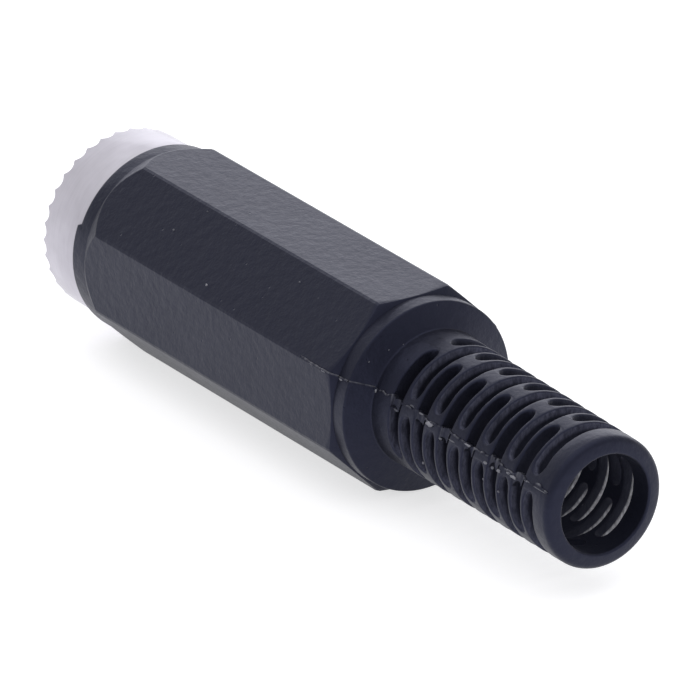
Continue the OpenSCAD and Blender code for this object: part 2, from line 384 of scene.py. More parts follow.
def grain(tree, vector, scale, detail=2.0, roughness=0.5):
    """The value of a noise texture."""
    inputs = {"Vector": vector, "Scale": scale, "Detail": detail, "Roughness": roughness}
    return add(tree, "ShaderNodeTexNoise", inputs).outputs["Fac"]


def stretched(tree, vector, scale, rotation=(0.0, 0.0, 0.0)):
    """Coordinates scaled and turned by a Mapping node."""
    inputs = {"Vector": vector, "Scale": scale, "Rotation": rotation}
    return add(tree, "ShaderNodeMapping", inputs).outputs["Vector"]


def new_group(name, inputs, outputs):
    """An empty node group with float sockets, apart from a vector input named Vector."""
    tree = bpy.data.node_groups.new(name, "ShaderNodeTree")
    for socket, value in inputs.items():
        kind = "NodeSocketVector" if socket == "Vector" else "NodeSocketFloat"
        made = tree.interface.new_socket(socket, in_out="INPUT", socket_type=kind)
        if kind == "NodeSocketFloat":
            made.default_value = value
    for socket in outputs:
        tree.interface.new_socket(socket, in_out="OUTPUT", socket_type="NodeSocketFloat")
    return tree, tree.nodes.new("NodeGroupInput").outputs, tree.nodes.new("NodeGroupOutput").inputs


def moulded_grain(name):
    """Fine pits and soft flow marks of a moulded surface."""
    tree, given, result = new_group(name, {"Vector": None, "Scale": 7000.0}, ("Height", "Mottle"))
    vector, scale = given["Vector"], given["Scale"]
    fine = grain(tree, vector, scale, 3.0, 0.6)
    coarse = grain(tree, vector, product(tree, scale, 0.28))
    soft = grain(tree, vector, product(tree, scale, 0.05))
    height = calc(tree, "ADD", fine, product(tree, coarse, 3.0))
    mottle = calc(tree, "ADD", product(tree, fine, 0.5), product(tree, coarse, 0.3), product(tree, soft, 0.2))
    tree.links.new(height, result["Height"])
    tree.links.new(ramp(tree, mottle, 0.3, 0.7), result["Mottle"])
    return tree


def settled_dust(name):
    """Sparse small specks."""
    tree, given, result = new_group(name, {"Vector": None, "Scale": 900.0, "Amount": 0.1}, ("Speck",))
    cells = add(tree, "ShaderNodeTexVoronoi", {"Vector": given["Vector"], "Scale": given["Scale"]})
    picked = add(tree, "ShaderNodeSeparateColor", {"Color": cells.outputs["Color"]}).outputs[0]
    chosen = calc(tree, "LESS_THAN", picked, given["Amount"])
    close = ramp(tree, cells.outputs["Distance"], 0.03, 0.12, 1.0, 0.0)
    tree.links.new(product(tree, chosen, close), result["Speck"])
    return tree


def turned_marks(name):
    """Fine marks round the axis, with a cloudy stain over them."""
    tree, given, result = new_group(name, {"Vector": None, "Scale": 3000.0}, ("Mark", "Stain"))
    vector, scale = given["Vector"], given["Scale"]
    parts = add(tree, "ShaderNodeSeparateXYZ", {"Vector": vector}).outputs
    across = add(tree, "ShaderNodeCombineXYZ", {"Y": parts["Y"], "Z": parts["Z"]})
    radius = add(tree, "ShaderNodeVectorMath", {0: across.outputs[0]}, operation="LENGTH").outputs["Value"]
    rings = add(tree, "ShaderNodeCombineXYZ", {"X": parts["X"], "Y": radius}).outputs[0]
    along = stretched(tree, vector, (1.0, 0.12, 0.12))
    mark = calc(tree, "ADD", grain(tree, rings, product(tree, scale, 4.0)),
                grain(tree, along, product(tree, scale, 3.0)))
    tree.links.new(product(tree, mark, 0.5), result["Mark"])
    tree.links.new(grain(tree, vector, product(tree, scale, 0.12), 3.0, 0.55), result["Stain"])
    return tree


def placed(tree, build, vector, **inputs):
    """The outputs of a shared group, which its builder makes at its first use."""
    group = bpy.data.node_groups.get(build.__name__) or build(build.__name__)
    return add(tree, "ShaderNodeGroup", {"Vector": vector, **inputs}, node_tree=group).outputs


def new_material(name, **constants):
    """A material with a Principled shader, and its Object coordinates."""
    made = bpy.data.materials.new(name)
    made.use_nodes = True
    tree = made.node_tree
    shader = tree.nodes["Principled BSDF"]
    for socket, value in constants.items():
        feed(tree, shader.inputs[socket.replace("_", " ")], value)
    vector = tree.nodes.new("ShaderNodeTexCoord").outputs["Object"]
    return made, tree, shader.inputs, vector


def coat(tree, shader, colour, roughness, height, relief):
    """Feeds the colour, the roughness and the bump of a shader. The relief is in millimetres."""
    feed(tree, shader["Base Color"], colour)
    feed(tree, shader["Roughness"], roughness)
    bumped = add(tree, "ShaderNodeBump", {"Height": height, "Distance": relief * MM, "Strength": 1.0})
    feed(tree, shader["Normal"], bumped.outputs["Normal"])


# Finishes


def new_cover_material(name):
    """A material with the gloss of the cover's plastic."""
    c = settings("cover")
    return new_material(name, IOR=1.5, Specular_IOR_Level=c.gloss, Specular_Tint=c.sheen)


def cover_plastic():
    """Moulded satin black plastic, with streaky slot walls and a little dust, painted shade deep in the slots
    and the bore, and painted light on the slot walls.
    """
    c = settings("cover")
    material, tree, shader, vector = new_cover_material("cover_plastic")
    skin = placed(tree, moulded_grain, vector, Scale=6500.0)
    speck = placed(tree, settled_dust, vector, Scale=800.0, Amount=0.035)["Speck"]
    pit = placed(tree, settled_dust, vector, Scale=1500.0, Amount=0.2)["Speck"]
    depth = add(tree, "ShaderNodeAttribute", attribute_name="inside").outputs["Fac"]
    slot_light = add(tree, "ShaderNodeAttribute", attribute_name="slot_light").outputs["Fac"]
    in_slot = product(tree, ramp(tree, depth, 0.03, 0.10), ramp(tree, depth, 0.9, 0.98, 1.0, 0.0))
    turned = stretched(tree, vector, (0.7, 1.0, 0.4), (c.parting - math.pi / 2, 0.0, 0.0))
    streak = product(tree, in_slot, ramp(tree, grain(tree, turned, 5200.0, 4.0, 0.7), 0.36, 0.66, 0.3, 1.0))
    # Streaks on the outer part of the slot walls, in the rows where light falls in: partly real streaks,
    # partly painted light.
    lit_streaks = product(tree, streak, ramp(tree, depth, 0.30, 0.50, 1.0, 0.0), ramp(tree, slot_light, 0.05, 0.2),
                      ramp(tree, slot_light, 0.22, 0.4, 1.0, 0.0))
    # Painted light on the outer part of the far slot walls, where light from outside comes through the slots.
    painted_light = product(tree, streak, ramp(tree, depth, 0.33, 0.45, 1.0, 0.0), ramp(tree, slot_light, 0.3, 0.8),
                     ramp(tree, depth, 0.10, 0.20))
    colour = blend(tree, skin["Mottle"], shade(c.plastic, 0.86), shade(c.plastic, 1.16))
    # Painted shade: the slot walls and the bore darken with depth.
    colour = blend(tree, ramp(tree, depth, 0.1, 0.6), colour, shade(c.plastic, 0.3))
    colour = blend(tree, lit_streaks, colour, c.plastic_lit_streaks)
    colour = blend(tree, painted_light, colour, c.plastic_painted_light)
    colour = blend(tree, product(tree, speck, 0.4), colour, c.plastic_pale)
    satin = ramp(tree, skin["Mottle"], 0.0, 1.0, c.roughness + 0.07, c.roughness - 0.05)
    roughness = calc(tree, "ADD", satin, ramp(tree, depth, 0.05, 0.4, 0.0, 0.35))
    height = calc(tree, "ADD", skin["Height"], product(tree, streak, 1.5), product(tree, pit, -2.0))
    coat(tree, shader, colour, roughness, height, 0.012)
    return material


def flash_plastic():
    """The same plastic, rubbed pale where the flash stands highest."""
    c = settings("cover")
    material, tree, shader, vector = new_cover_material("flash_plastic")
    skin = placed(tree, moulded_grain, vector, Scale=9000.0)
    rubbed = add(tree, "ShaderNodeAttribute", attribute_name="rubbed").outputs["Fac"]
    broken = ramp(tree, calc(tree, "ADD", skin["Mottle"], 0.35), 0.25, 0.8)
    colour = blend(tree, product(tree, rubbed, broken), c.plastic, c.plastic_pale)
    coat(tree, shader, colour, ramp(tree, rubbed, 0.0, 1.0, c.roughness, 0.7), skin["Height"], 0.012)
    return material


def collar_plating():
    """Satin nickel plate with faint turned marks and stains."""
    k = settings("collar")
    material, tree, shader, vector = new_material("collar_plating", Metallic=1.0, Coat_Roughness=0.12)
    marks = placed(tree, turned_marks, vector, Scale=2600.0)
    speck = placed(tree, settled_dust, vector, Scale=900.0, Amount=0.05)["Speck"]
    colour = blend(tree, ramp(tree, marks["Stain"], 0.35, 0.65), shade(k.plating, 0.88), k.plating)
    colour = blend(tree, product(tree, speck, 0.4), colour, (0.25, 0.24, 0.26))
    roughness = ramp(tree, marks["Mark"], 0.3, 0.7, k.roughness - 0.06, k.roughness + 0.08)
    feed(tree, shader["Coat Weight"], ramp(tree, marks["Stain"], 0.3, 0.7, 0.5, 0.9))
    coat(tree, shader, colour, roughness, marks["Mark"], 0.004)
    return material


def insert_plastic():
    """Moulded black plastic of the insert."""
    material, tree, shader, vector = new_material("insert_plastic", IOR=1.5)
    base = settings("contacts").insert
    skin = placed(tree, moulded_grain, vector, Scale=9000.0)
    speck = placed(tree, settled_dust, vector, Scale=1100.0, Amount=0.03)["Speck"]
    colour = blend(tree, skin["Mottle"], shade(base, 0.8), shade(base, 1.2))
    colour = blend(tree, product(tree, speck, 0.3), colour, (0.3, 0.3, 0.32))
    coat(tree, shader, colour, ramp(tree, skin["Mottle"], 0.0, 1.0, 0.42, 0.32), skin["Height"], 0.006)
    return material


def pin_plating():
    """Bright turned nickel of the centre pin."""
    material, tree, shader, vector = new_material("pin_plating", Metallic=1.0)
    base = settings("contacts").nickel
    marks = placed(tree, turned_marks, vector, Scale=4000.0)
    colour = blend(tree, ramp(tree, marks["Stain"], 0.35, 0.65), shade(base, 0.85), base)
    coat(tree, shader, colour, ramp(tree, marks["Mark"], 0.3, 0.7, 0.16, 0.32), marks["Mark"], 0.004)
    return material


def terminal_plating():
    """Tinned brass sheet, which shows a little brass where the tin is thin."""
    material, tree, shader, vector = new_material("terminal_plating", Metallic=1.0)
    contacts = settings("contacts")
    marks = placed(tree, turned_marks, stretched(tree, vector, (0.15, 1.0, 1.0)), Scale=3500.0)
    stain = ramp(tree, marks["Stain"], 0.52, 0.75)
    colour = blend(tree, product(tree, stain, 0.55), contacts.tin, contacts.brass)
    coat(tree, shader, colour, ramp(tree, marks["Mark"], 0.3, 0.7, 0.26, 0.44), marks["Mark"], 0.005)
    return material


def washer_fibre():
    """Pressed red fibre with a felted grain."""
    material, tree, shader, vector = new_material("washer_fibre")
    base = settings("contacts").fibre
    felt = grain(tree, stretched(tree, vector, (2.5, 1.0, 0.5)), 5000.0, 4.0, 0.65)
    colour = blend(tree, ramp(tree, felt, 0.35, 0.65), shade(base, 0.7), shade(base, 1.25))
    coat(tree, shader, colour, 0.75, felt, 0.02)
    return material


# Pieces

# Row numbers of the vertices that are moved or marked after a spin
RIM_FRONT_ROW = 3
FLUTE_FACE_ROW = 4
FLUTE_SIDE_ROW = 5
FRONT_CREASE = 10
REAR_CREASE = 20
SLOT_OUTSIDE = 1000
SLOT_INSIDE = 2000
INNER_ROW = 3000

# Counts of rows, columns and flats, and half the angle of a flat
CREASE_PARTS = 4
COVER_COLUMNS = 240
TOOTH_COLUMNS = 12
FLATS = 8
HALF_FLAT = 180.0 / FLATS

# Angle at which the painted light on the slot walls is strongest, and the angle over which that fades at the
# ends of a slot
LIT_SIDE = 232.0
LIT_FADE = 18.0

# Length of the flash on the rear of the corners at the parting line
FLASHED_CORNER = 2.6 * MM

# Pale flecks: distance, angle in degrees, length, width and paleness, with sizes in millimetres
FLECKS = (
    (10.7, 43.5, 0.15, 0.13, 0.25), (15.6, 60.5, 0.16, 0.14, 0.7), (12.1, 25.5, 0.14, 0.10, 0.2),
    (21.7, 33.0, 0.13, 0.10, 0.25), (26.3, 68.0, 0.50, 0.08, 0.5), (27.45, 68.0, 0.40, 0.10, 0.7),
    (28.45, 68.5, 0.30, 0.12, 0.7), (29.75, 69.5, 0.12, 0.26, 0.6), (29.5, 38.0, 0.08, 0.10, 0.3),
    (29.6, 27.0, 0.08, 0.08, 0.25), (29.35, 52.0, 0.08, 0.10, 0.3), (31.7, 75.0, 0.45, 0.10, 0.2),
    (32.85, 65.0, 0.40, 0.10, 0.2), (33.75, 66.5, 0.45, 0.10, 0.35), (34.65, 70.0, 0.62, 0.28, 0.65),
    (35.8, 76.0, 0.22, 0.14, 0.35), (36.7, 72.5, 0.55, 0.08, 0.35), (38.0, 68.5, 0.60, 0.11, 0.6),
    (39.8, 73.5, 0.26, 0.17, 0.55), (40.45, 74.0, 0.25, 0.15, 0.35), (41.0, 73.5, 0.34, 0.20, 0.55),
    (41.8, 70.5, 0.35, 0.17, 0.45), (42.25, 71.5, 0.50, 0.17, 0.6), (43.4, 68.5, 0.50, 0.10, 0.5),
    (44.5, 69.0, 1.20, 0.05, 0.4), (34.15, 107.0, 0.14, 0.14, 0.6), (39.85, 87.0, 0.14, 0.13, 0.35),
    (41.2, 90.0, 0.18, 0.11, 0.35),
)


def slot_rows(c):
    """The number, front and rear distance of each row of slots, counted from the end of the tail."""
    rows = []
    for index in range(c.slot_rows):
        rear = c.end - c.lip - index * c.slot_pitch
        rows.append((index, rear - c.slot_width, rear))
    return rows


def tail_radius(c, distance):
    """Radius of the tapered tail at a distance behind the mouth."""
    return c.tail_root + (c.tail_tip - c.tail_root) * (distance - c.band_end) / (c.end - c.band_end)


def dome_distance(c, radius):
    """Distance of the sloping end face behind the mouth at a radius."""
    return c.band_end + c.dome * (c.band - radius) / (c.band - c.tail_root)


def flat_radius(c, degrees):
    """Radius of the eight flats at an angle, with their corners trimmed."""
    off = math.radians(wrapped(degrees, 2 * HALF_FLAT))
    corner = c.flat / math.cos(math.radians(HALF_FLAT)) - c.corner_trim
    return min(c.flat / math.cos(off), corner)


def corner_half(c):
    """Half the angle that a trimmed corner between the flats takes up, in degrees."""
    return HALF_FLAT - math.degrees(math.acos(c.flat / flat_radius(c, HALF_FLAT)))


def surface_radius(c, distance, degrees):
    """Radius of the outside of the cover at a distance and an angle."""
    if distance > c.band_end + c.dome:
        return tail_radius(c, distance)
    if distance > c.band_end:
        return c.band - (c.band - c.tail_root) * (distance - c.band_end) / c.dome
    peak = flat_radius(c, HALF_FLAT)
    band_start = c.flats_end + c.rear_run
    front = c.rim + (peak - c.rim) * (distance - c.front - c.rim_length) / c.front_run
    rear = c.band + (peak - c.band) * (band_start - distance) / c.rear_run
    low = c.rim if distance < c.flats_end else c.band
    return max(low, min(flat_radius(c, degrees), front, rear))


def crease(c, degrees, rear, part):
    """Distance and radius of one part of the crease at an end of the flats, counted towards the tail."""
    peak = flat_radius(c, HALF_FLAT)
    radius = flat_radius(c, degrees)
    low = c.band if rear else c.rim
    foot = c.flats_end + c.rear_run if rear else c.front + c.rim_length
    run = -c.rear_run if rear else c.front_run
    rise = (radius - low) / (peak - low)
    edge = c.rear_edge * rise if rear else c.front_edge
    back = rise - min(edge / math.hypot(run, peak - low), 0.5 * rise)
    on_run = Vector((foot + run * back, low + (peak - low) * back))
    middle = Vector((foot + run * rise, radius))
    along = Vector((math.copysign(edge, run), 0.0))
    on_flat = middle + along
    steps = [on_run, (on_run + 2.0 * middle + on_flat) / 4.0, on_flat, on_flat + along]
    return steps[CREASE_PARTS - 1 - part if rear else part]


def from_corner(degrees):
    """The angle from the nearest corner between the flats, from minus to plus half a flat."""
    return wrapped(degrees + HALF_FLAT, 2 * HALF_FLAT)


def cover_outline(c):
    """The closed outline of the cover: outside from front to end, then inside from end to front."""
    step = 0.02 * MM
    lead = 0.1 * MM
    hole_edge = 0.12 * MM
    thread_cone = 0.4 * MM
    end_lean = 12.0
    hole_turn = -80.0
    flats_start = c.front + c.rim_length
    band_start = c.flats_end + c.rear_run
    over_collar = settings("collar").outside + step
    rim_middle = c.rim - c.front_round
    hidden = math.degrees(math.asin((over_collar - rim_middle) / c.front_round))
    rows = [(c.front, c.thread_bore + lead, INNER_ROW), (c.front, over_collar, 0)]
    rows += arc(c.front + c.front_round, rim_middle, c.front_round, 180.0 - hidden, 90.0, 6, RIM_FRONT_ROW)
    rows += [(flats_start - 0.5 * lead, c.rim, 0), (flats_start, c.rim, 0)]
    rows += [(flats_start + (part + 1) * lead, c.flat, FRONT_CREASE + part) for part in range(CREASE_PARTS)]
    rows += [(c.flats_end + part * lead, c.flat, REAR_CREASE + part) for part in range(CREASE_PARTS)]
    rows += [(band_start, c.band, 0), (band_start + 0.5 * lead, c.band, 0)]
    rows.append((c.band_end - c.rear_round - 0.5 * lead, c.band, 0))
    slope = math.atan2(c.dome, c.band - c.tail_root)
    turned = math.degrees(slope)
    edge = c.band - c.rear_round
    foot = c.tail_root + c.root_fillet
    rows += arc(dome_distance(c, edge) - c.rear_round / math.cos(slope), edge, c.rear_round, 90.0, turned, 6)
    rows += arc(dome_distance(c, foot) + c.root_fillet / math.cos(slope), foot, c.root_fillet,
                180.0 + turned, 270.0, 3)
    for index, front, rear in reversed(slot_rows(c)):
        rows.append((front, tail_radius(c, front), SLOT_OUTSIDE + 2 * index))
        rows.append((rear, tail_radius(c, rear), SLOT_OUTSIDE + 2 * index + 1))
    rows += arc(c.end - c.lip_slope - c.lip_round, c.tail_tip - c.lip_round, c.lip_round, 90.0, end_lean, 6)
    rows += arc(c.end - hole_edge, c.entry + hole_edge, hole_edge, end_lean, hole_turn)
    rows.append((c.end - hole_edge, c.entry, INNER_ROW))
    for index, front, rear in slot_rows(c):
        rows.append((rear, c.entry, SLOT_INSIDE + 2 * index + 1))
        rows.append((front, c.entry, SLOT_INSIDE + 2 * index))
    rows += [(c.cavity_end, c.entry, INNER_ROW), (c.cavity_end - c.cavity + c.entry, c.cavity, INNER_ROW)]
    rows += [(c.thread_end + thread_cone, c.cavity, INNER_ROW), (c.thread_end, c.thread_bore, INNER_ROW)]
    rows.append((c.front + lead, c.thread_bore, INNER_ROW))
    return rows


def bridge_angles(c, index):
    """Angles of the bridges in one row of slots. Every other row is turned by half a slot."""
    spacing = 360.0 / c.slots_per_row
    first = math.degrees(c.parting) + (index % 2) * spacing / 2
    return [first + spacing * number for number in range(c.slots_per_row)]


def past_bridge(c, index, degrees):
    """How far an angle lies past the end of the nearest bridge of a row, in degrees."""
    nearest = min(apart(degrees, angle) for angle in bridge_angles(c, index))
    return nearest - math.degrees(c.bridge)


def slot_of(face, row):
    """The number of the row of slots that a face lies in, or None."""
    numbers = sorted({vert[row] for vert in face.verts})
    if len(numbers) == 2 and numbers[0] >= SLOT_OUTSIDE:
        if numbers[0] % 2 == 0 and numbers[1] == numbers[0] + 1:
            return numbers[0] % SLOT_OUTSIDE // 2
    return None


def boundary_loops(bm):
    """The open edges of a mesh, as one list for each hole."""
    left = dict.fromkeys(edge for edge in bm.edges if edge.is_boundary)
    loops = []
    while left:
        loop = []
        edge = next(iter(left))
        vert = edge.verts[0]
        while edge:
            del left[edge]
            loop.append(edge)
            vert = edge.other_vert(vert)
            edge = next((other for other in vert.link_edges if other in left), None)
        loops.append(loop)
    return loops


def mark_slot_light(bm, c, row):
    """Marks the slot walls that get painted light: every other row above the parting line, and all rows below
    it.
    """
    slot_light = bm.verts.layers.float.new("slot_light")
    parting = math.degrees(c.parting)
    unlit = 0.03
    least = 0.2
    for vert in bm.verts:
        if SLOT_OUTSIDE <= vert[row] < INNER_ROW:
            degrees = degrees_of(vert.co)
            below = parting < degrees < parting + 180.0
            index = vert[row] % SLOT_OUTSIDE // 2
            # The painted light is strongest on the side of the tail away from the camera, and fades towards
            # the bridges.
            facing_light = max(0.0, math.cos(math.radians(degrees - LIT_SIDE)))
            facing_light *= min(1.0, max(0.0, past_bridge(c, index, degrees) / LIT_FADE))
            vert[slot_light] = unlit if index % 2 and not below else least + (1.0 - least) * facing_light


def cut_slots(bm, c, row):
    """Opens the slots through the wall of the tail and rounds their ends and edges."""
    doomed = []
    for face in bm.faces:
        index = slot_of(face, row)
        if index is not None and past_bridge(c, index, degrees_of(face.calc_center_median())) > 0.0:
            doomed.append(face)
    bmesh.ops.delete(bm, geom=doomed, context="FACES")
    middles = {index: (front + rear) / 2 for index, front, rear in slot_rows(c)}
    end_run = math.degrees(c.end_taper / tail_radius(c, c.end))
    blunt = 0.3
    wander = 0.035 * MM
    wave = 0.7 * MM
    sector = 180.0 / c.slots_per_row
    pairs = {}
    for loop in boundary_loops(bm):
        verts = {vert for edge in loop for vert in edge.verts}
        number = min(vert[row] for vert in verts)
        index = number % SLOT_OUTSIDE // 2
        centre = sum((vert.co for vert in verts), Vector()) / len(verts)
        pairs.setdefault((index, round(degrees_of(centre) / sector)), {})[number >= SLOT_INSIDE] = loop
        for vert in verts:
            run = past_bridge(c, index, degrees_of(vert.co)) + blunt
            if run < end_run + blunt:
                part = 1.0 - run / (end_run + blunt)
                middle = -middles[index]
                vert.co.x = middle + (vert.co.x - middle) * math.sqrt(1.0 - part * part)
            vert.co.x += wander * noise.noise(vert.co / wave)
    rims = []
    for pair in pairs.values():
        bmesh.ops.bridge_loops(bm, edges=pair[False] + pair[True])
        rims += pair[False]
    bmesh.ops.recalc_face_normals(bm, faces=bm.faces)
    bmesh.ops.bevel(bm, geom=rims, offset=c.slot_edge, offset_type="OFFSET", segments=3, profile=0.5,
                    affect="EDGES", clamp_overlap=False, material=-1)


def shape_flats(bm, c, row):
    """Moves the rows of the flats to eight sides with run-outs, and keeps their corners crisp."""
    column = 360.0 / COVER_COLUMNS
    corner = corner_half(c)
    tolerance = 0.1
    for vert in bm.verts:
        for first, rear in ((FRONT_CREASE, False), (REAR_CREASE, True)):
            part = vert[row] - first
            if 0 <= part < CREASE_PARTS:
                degrees = degrees_of(vert.co)
                off = from_corner(degrees)
                if 0.5 * column < abs(off) < 1.5 * column:
                    degrees += math.copysign(corner, off) - off
                vert.co = place(*crease(c, degrees, rear, part), degrees)
    for edge in bm.edges:
        if all(FRONT_CREASE <= vert[row] < REAR_CREASE + CREASE_PARTS for vert in edge.verts):
            beside = [abs(abs(from_corner(degrees_of(vert.co))) - corner) for vert in edge.verts]
            edge.smooth = max(beside) > tolerance


def let_sag(bm, c):
    """Lifts the root of the tail a little and lets its end hang."""
    for vert in bm.verts:
        gone = -vert.co.x - c.band_end
        if gone > 0.0:
            lift = c.root_lift * min(1.0, gone / c.dome)
            vert.co.z += lift - (c.root_lift + c.sag) * gone / (c.end - c.band_end)


def build_cover():
    """The cover in one shell: bands, flats, slotted tail and inner thread."""
    c = settings("cover")
    k = settings("collar")
    margin = 0.1
    first = math.degrees(c.parting) + margin
    last = first + 180.0 - 2 * margin
    bm = bmesh.new()
    wind_ridge(bm, start=c.front + 0.5 * MM, turns=9.0, pitch=k.pitch, base=c.thread_bore + 0.03 * MM,
               crest=k.crest + 0.04 * MM, width=0.5 * MM)
    row = spin_outline(bm, cover_outline(c), COVER_COLUMNS)
    inside = bm.verts.layers.float.new("inside")
    for vert in bm.verts:
        vert[inside] = float(vert[row] >= SLOT_INSIDE)
        if vert[row] == RIM_FRONT_ROW and first < degrees_of(vert.co) < last:
            vert.co.x += c.mismatch
    shape_flats(bm, c, row)
    mark_slot_light(bm, c, row)
    cut_slots(bm, c, row)
    let_sag(bm, c)
    bmesh.ops.recalc_face_normals(bm, faces=bm.faces)
    shell = make_object(bm, "cover_shell", cover_plastic())
    dress(shell, "cover", "cover_plastic", "cover")


def flash_at(c, distance, degrees):
    """Reach above and below the parting line, height, sink and rubbing of the flash at a distance."""
    mm = distance / MM
    rough = noise.noise(Vector((mm * 2.7, degrees, 1.0)))
    fine = noise.noise(Vector((mm * 9.0, degrees, 5.0)))
    loose = 0.20 if distance > c.band_end + c.dome else 0.06
    stray = loose * noise.noise(Vector((mm * 1.9, degrees, 13.0)))
    # Sizes in millimetres, each with its share of the noise
    above = 0.050 + 0.03 * fine - stray
    below = 0.050 + 0.03 * rough + stray
    height = 0.055 + 0.04 * fine
    sink = 0.06
    rubbed = max(0.0, 0.16 + 0.35 * rough + 0.35 * fine)
    fade = 0.1 * MM
    for index, front, rear in slot_rows(c):
        if index % 2:
            reach = abs(distance - (front + rear) / 2) - c.slot_width / 2
            near = min(1.0, max(0.0, 0.5 - reach / fade))
            own = noise.noise(Vector((index * 3.7, degrees, 9.0)))
            across = min(1.0, 1.0 + reach / (0.5 * c.slot_width))
            above += near * (0.05 + 0.10 * rough + 0.08 * fine)
            below += near * (0.25 + 0.45 * across ** 2 + 0.40 * own + 0.20 * rough + 0.06 * fine)
            height -= near * (0.05 + 0.04 * rough + 0.03 * fine)
            sink += 0.22 * near
            rubbed = max(0.0, rubbed - 0.15 * near)
    return above * MM, below * MM, height * MM, sink * MM, rubbed


def flash_strip(bm, c, start, stop, degrees):
    """A strip of flash along the parting line: a bar of four sides, divided and moved to its place."""
    rubbed = bm.verts.layers.float["rubbed"]
    placed_before = bm.verts.layers.int["placed"]
    spacing = 0.06 * MM
    bmesh.ops.create_cube(bm, size=2.0)
    long_edges = [edge for edge in bm.edges if abs(edge.verts[0].co.z - edge.verts[1].co.z) > 1.0]
    bmesh.ops.subdivide_edges(bm, edges=long_edges, cuts=round((stop - start) / spacing))
    for vert in bm.verts:
        if vert[placed_before]:
            continue
        distance = start + (stop - start) * (vert.co.z + 1.0) / 2
        above, below, height, sink, pale = flash_at(c, distance, degrees)
        on_top = vert.co.y > 0.0
        upper = vert.co.x < 0.0
        radius = surface_radius(c, distance, degrees) + (height if on_top else -sink)
        offset = math.degrees((-above if upper else below) / radius)
        vert[rubbed] = pale if on_top and upper else 0.0
        vert.co = place(distance, radius, degrees + offset)
        vert[placed_before] = 1


def add_fleck(bm, c, spot):
    """One uneven pale grain on the surface."""
    distance, degrees, long, wide, pale = spot
    rubbed = bm.verts.layers.float["rubbed"]
    thick = 0.8 * wide
    surface = surface_radius(c, distance * MM, degrees)
    for vert in bmesh.ops.create_icosphere(bm, subdivisions=2, radius=1.0)["verts"]:
        half = 0.5 * MM * (1.0 + 0.5 * noise.noise(vert.co * 1.6 + Vector((distance, degrees, 0.0))))
        along = distance * MM + half * long * vert.co.x
        radius = surface + half * thick * vert.co.z
        turned = math.degrees(half * wide * vert.co.y / radius)
        vert[rubbed] = pale
        vert.co = place(along, radius, degrees + turned)


def build_flash():
    """Thin flash along the parting lines of the cover, webs where slots cross them, and pale flecks."""
    c = settings("cover")
    gap = 0.06 * MM
    bm = bmesh.new()
    bm.verts.layers.float.new("rubbed")
    bm.verts.layers.int.new("placed")
    band_start = c.flats_end + c.rear_run
    root = c.band_end + c.dome
    spans = ((c.flats_end - FLASHED_CORNER, band_start), (band_start + gap, c.band_end - c.rear_round),
             (c.band_end, root), (root + c.root_fillet, c.end - c.lip_round))
    for degrees in (math.degrees(c.parting), math.degrees(c.parting) + 180.0):
        for start, stop in spans:
            flash_strip(bm, c, start, stop, degrees)
    for spot in FLECKS:
        add_fleck(bm, c, spot)
    let_sag(bm, c)
    bmesh.ops.recalc_face_normals(bm, faces=bm.faces)
    flash = make_object(bm, "cover_flash", flash_plastic(), sharp_degrees=60.0)
    dress(flash, "cover", "cover_plastic")


def flute_cut(k, degrees):
    """How far a flute cuts the front edge of the collar back at an angle."""
    across = k.outside * math.radians(wrapped(degrees, 360.0 / k.teeth))
    drop = k.tooth_depth / math.sqrt(2.0)
    half = (math.tau * k.outside / k.teeth - k.tooth_land) / 2
    curve = (half * half + drop * drop) / (2 * drop)
    if abs(across) >= half:
        return 0.0
    return math.sqrt(2.0) * (drop - (curve - math.sqrt(curve * curve - across * across)))


def collar_outline(k):
    """The closed outline of the collar: inside the front, over the teeth, then along the spigot."""
    edge = 0.06 * MM
    bevel = 0.3 * MM
    flute = 1.2 * k.tooth_depth
    rows = [(k.seat_depth, k.bore, 0), (k.seat_depth, k.seat, 0), (edge, k.seat, 0), (0.0, k.seat + edge, 0)]
    rows += [(0.0, k.outside, FLUTE_FACE_ROW), (0.0, k.outside, FLUTE_SIDE_ROW), (flute, k.outside, 0)]
    rows += arc(k.shoulder - edge, k.outside - edge, edge, 90.0, 0.0, 2)
    rows += [(k.shoulder, k.relief, 0), (k.relief_end, k.relief, 0), (k.relief_end + bevel, k.root, 0)]
    rows += [(k.end - bevel, k.root, 0), (k.end, k.relief, 0), (k.end, k.bore, 0)]
    return rows


def build_collar():
    """The plated collar, with its teeth and the thread on its spigot."""
    k = settings("collar")
    tip = 0.02 * MM
    inset = 0.5 * MM
    bm = bmesh.new()
    start = k.relief_end + inset
    turns = math.floor((k.end - inset - start) / k.pitch * 4) / 4
    wind_ridge(bm, start=start, turns=turns, pitch=k.pitch, base=k.root - 0.03 * MM, crest=k.crest,
               width=0.6 * MM)
    row = spin_outline(bm, collar_outline(k), k.teeth * TOOTH_COLUMNS)
    for vert in bm.verts:
        cut = flute_cut(k, degrees_of(vert.co))
        if vert[row] == FLUTE_FACE_ROW:
            set_radius(vert, k.outside - cut - tip)
        elif vert[row] == FLUTE_SIDE_ROW:
            vert.co.x = -cut - tip
    bmesh.ops.recalc_face_normals(bm, faces=bm.faces)
    ring = make_object(bm, "collar_ring", collar_plating(), sharp_degrees=28.0)
    dress(ring, "socket", "collar_plating", "collar")


def finish_contacts():
    """Gives the CAD pieces inside their finishes."""
    terminal = terminal_plating()
    finishes = {
        "insert": insert_plastic(),
        "centre_pin": pin_plating(),
        "sleeve_terminal": terminal,
        "centre_terminal": terminal,
        "washer": washer_fibre(),
    }
    for name, material in finishes.items():
        for place_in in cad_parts[name].material_slots:
            place_in.material = material


# Stage


